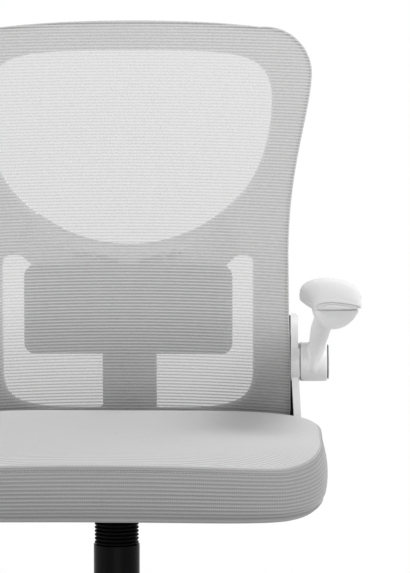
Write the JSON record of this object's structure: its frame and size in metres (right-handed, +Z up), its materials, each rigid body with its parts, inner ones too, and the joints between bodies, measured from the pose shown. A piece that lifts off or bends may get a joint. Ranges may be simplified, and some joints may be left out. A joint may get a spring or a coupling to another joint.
{
  "type": "office chair",
  "caption": "Mesh-back office chair with cushioned seat, slotted lumbar pad, flip-up arms, tilt mechanism, gas lift and rolling star base.",
  "frame": {"origin": "on the floor, below the middle of the chair at the column's axis", "axes": "+Z up, the longest extent; the sitter faces -Y; X runs across the seat"},
  "size_m": [0.6356, 0.6445, 0.995],
  "materials": {
    "white_nylon": "moulded, fine satin",
    "back_mesh": "ribbed elastic mesh, half see-through",
    "seat_fabric": "ribbed woven fabric",
    "pad_foam": "soft skin foam",
    "lumbar_plastic": "satin",
    "black_plastic": "smooth, half gloss",
    "boot_rubber": "folded, half gloss",
    "hood_plastic": "fine texture",
    "wheel_plastic": "soft tread",
    "pan_plastic": "fine texture",
    "painted_steel": "black powder coat",
    "bright_steel": "zinc",
    "hub_cap": "moulded satin"
  },
  "bodies": {
    "base": {"base_star": "white_nylon", "caster_stems": "bright_steel", "gas_outer_tube": "painted_steel", "guide_bush": "pan_plastic", "cover_lower": "black_plastic"},
    "gas_rod": {"piston_rod": "bright_steel", "rod_bearing": "bright_steel"},
    "lift": {"pressure_tube": "bright_steel", "mechanism_housing": "painted_steel", "tension_nut": "bright_steel", "rocker_pin": "bright_steel", "column_boot": "boot_rubber", "cover_upper": "black_plastic"},
    "middle_cover": {"cover_middle": "black_plastic"},
    "button": {"gas_button": "bright_steel"},
    "rocker": {"lever_rocker": "painted_steel"},
    "lever": {"lever_rod": "bright_steel", "lever_paddle": "black_plastic"},
    "tension": {"tension_knob": "black_plastic", "tension_bolt": "bright_steel"},
    "seat": {"seat_plate": "painted_steel", "tilt_pin": "bright_steel", "tilt_spring": "bright_steel", "seat_pan": "pan_plastic", "seat_cushion": "seat_fabric", "seat_bolts": "bright_steel", "back_upright": "painted_steel", "back_frame": "white_nylon", "back_mesh": "back_mesh", "back_bolts": "bright_steel", "arm_bracket_left": "white_nylon", "arm_bracket_right": "white_nylon", "arm_pivots": "hub_cap", "arm_bolts": "bright_steel"},
    "lumbar": {"lumbar_pad": "lumbar_plastic"},
    "left_arm": {"arm_left": "white_nylon", "arm_pad_left": "pad_foam"},
    "right_arm": {"arm_right": "white_nylon", "arm_pad_right": "pad_foam"},
    "caster_1": {"caster_hood_1": "hood_plastic", "caster_axle_1": "bright_steel"},
    "wheel_left_1": {"caster_wheel_left_1": "wheel_plastic"},
    "wheel_right_1": {"caster_wheel_right_1": "wheel_plastic"},
    "caster_2": {"caster_hood_2": "hood_plastic", "caster_axle_2": "bright_steel"},
    "wheel_left_2": {"caster_wheel_left_2": "wheel_plastic"},
    "wheel_right_2": {"caster_wheel_right_2": "wheel_plastic"},
    "caster_3": {"caster_hood_3": "hood_plastic", "caster_axle_3": "bright_steel"},
    "wheel_left_3": {"caster_wheel_left_3": "wheel_plastic"},
    "wheel_right_3": {"caster_wheel_right_3": "wheel_plastic"},
    "caster_4": {"caster_hood_4": "hood_plastic", "caster_axle_4": "bright_steel"},
    "wheel_left_4": {"caster_wheel_left_4": "wheel_plastic"},
    "wheel_right_4": {"caster_wheel_right_4": "wheel_plastic"},
    "caster_5": {"caster_hood_5": "hood_plastic", "caster_axle_5": "bright_steel"},
    "wheel_left_5": {"caster_wheel_left_5": "wheel_plastic"},
    "wheel_right_5": {"caster_wheel_right_5": "wheel_plastic"}
  },
  "joints": [
    {"name": "seat_swivel", "type": "hinge", "parent": "base", "child": "gas_rod", "pos_m": [0, 0, 0.3], "axis": [0, 0, 1], "continuous": true},
    {"name": "seat_lift", "type": "slide", "parent": "gas_rod", "child": "lift", "axis": [0, 0, 1], "range_m": [-0.045, 0.055]},
    {"name": "middle_cover_slide", "type": "slide", "parent": "gas_rod", "child": "middle_cover", "axis": [0, 0, 1], "range_m": [-0.0225, 0.0275]},
    {"name": "button_press", "type": "slide", "parent": "lift", "child": "button", "axis": [0, 0, 1], "range_m": [-0.0045, 0]},
    {"name": "lever_pull", "type": "hinge", "parent": "lift", "child": "rocker", "pos_m": [-0.036, 0, 0.419], "axis": [0, 1, 0], "range_deg": [0, 6], "stiffness_Nm_per_rad": 4, "springref_deg": -8.59},
    {"name": "lever_slide", "type": "slide", "parent": "rocker", "child": "lever", "axis": [-1, 0, 0], "range_m": [0, 0.012]},
    {"name": "tension_turn", "type": "hinge", "parent": "lift", "child": "tension", "pos_m": [0, -0.09, 0.417], "axis": [0, 0, 1], "range_deg": [-360, 360]},
    {"name": "seat_tilt", "type": "hinge", "parent": "lift", "child": "seat", "pos_m": [0, -0.05, 0.424], "axis": [-1, 0, 0], "range_deg": [0, 12], "stiffness_Nm_per_rad": 60, "springref_deg": -40.11},
    {"name": "lumbar_slide", "type": "slide", "parent": "seat", "child": "lumbar", "axis": [0, 0, 1], "range_m": [-0.02, 0.03]},
    {"name": "left_arm_flip", "type": "hinge", "parent": "seat", "child": "left_arm", "pos_m": [-0.23, 0.212, 0.564], "axis": [-1, 0, 0], "range_deg": [0, 65]},
    {"name": "right_arm_flip", "type": "hinge", "parent": "seat", "child": "right_arm", "pos_m": [0.23, 0.212, 0.564], "axis": [-1, 0, 0], "range_deg": [0, 65]},
    {"name": "caster_swivel_1", "type": "hinge", "parent": "base", "child": "caster_1", "pos_m": [0, -0.276, 0.05], "axis": [0, 0, 1], "continuous": true},
    {"name": "wheel_left_1_roll", "type": "hinge", "parent": "caster_1", "child": "wheel_left_1", "pos_m": [0, -0.298, 0.025], "axis": [1, 0, 0], "continuous": true},
    {"name": "wheel_right_1_roll", "type": "hinge", "parent": "caster_1", "child": "wheel_right_1", "pos_m": [0, -0.298, 0.025], "axis": [1, 0, 0], "continuous": true},
    {"name": "caster_swivel_2", "type": "hinge", "parent": "base", "child": "caster_2", "pos_m": [0.26249, -0.08529, 0.05], "axis": [0, 0, 1], "continuous": true},
    {"name": "wheel_left_2_roll", "type": "hinge", "parent": "caster_2", "child": "wheel_left_2", "pos_m": [0.28353, -0.07886, 0.025], "axis": [-0.2924, 0.9563, 0], "continuous": true},
    {"name": "wheel_right_2_roll", "type": "hinge", "parent": "caster_2", "child": "wheel_right_2", "pos_m": [0.28353, -0.07886, 0.025], "axis": [-0.2924, 0.9563, 0], "continuous": true},
    {"name": "caster_swivel_3", "type": "hinge", "parent": "base", "child": "caster_3", "pos_m": [0.16223, 0.22329, 0.05], "axis": [0, 0, 1], "continuous": true},
    {"name": "wheel_left_3_roll", "type": "hinge", "parent": "caster_3", "child": "wheel_left_3", "pos_m": [0.18418, 0.22482, 0.025], "axis": [-0.0698, 0.9976, 0], "continuous": true},
    {"name": "wheel_right_3_roll", "type": "hinge", "parent": "caster_3", "child": "wheel_right_3", "pos_m": [0.18418, 0.22482, 0.025], "axis": [-0.0698, 0.9976, 0], "continuous": true},
    {"name": "caster_swivel_4", "type": "hinge", "parent": "base", "child": "caster_4", "pos_m": [-0.16223, 0.22329, 0.05], "axis": [0, 0, 1], "continuous": true},
    {"name": "wheel_left_4_roll", "type": "hinge", "parent": "caster_4", "child": "wheel_left_4", "pos_m": [-0.18418, 0.22482, 0.025], "axis": [-0.0698, -0.9976, 0], "continuous": true},
    {"name": "wheel_right_4_roll", "type": "hinge", "parent": "caster_4", "child": "wheel_right_4", "pos_m": [-0.18418, 0.22482, 0.025], "axis": [-0.0698, -0.9976, 0], "continuous": true},
    {"name": "caster_swivel_5", "type": "hinge", "parent": "base", "child": "caster_5", "pos_m": [-0.26249, -0.08529, 0.05], "axis": [0, 0, 1], "continuous": true},
    {"name": "wheel_left_5_roll", "type": "hinge", "parent": "caster_5", "child": "wheel_left_5", "pos_m": [-0.28353, -0.07886, 0.025], "axis": [-0.2924, -0.9563, 0], "continuous": true},
    {"name": "wheel_right_5_roll", "type": "hinge", "parent": "caster_5", "child": "wheel_right_5", "pos_m": [-0.28353, -0.07886, 0.025], "axis": [-0.2924, -0.9563, 0], "continuous": true}
  ],
  "couplings": [
    {"joint": "middle_cover_slide", "follows": "seat_lift", "ratio": 0.5},
    {"joint": "button_press", "follows": "lever_pull", "m_per_rad": -0.04}
  ]
}
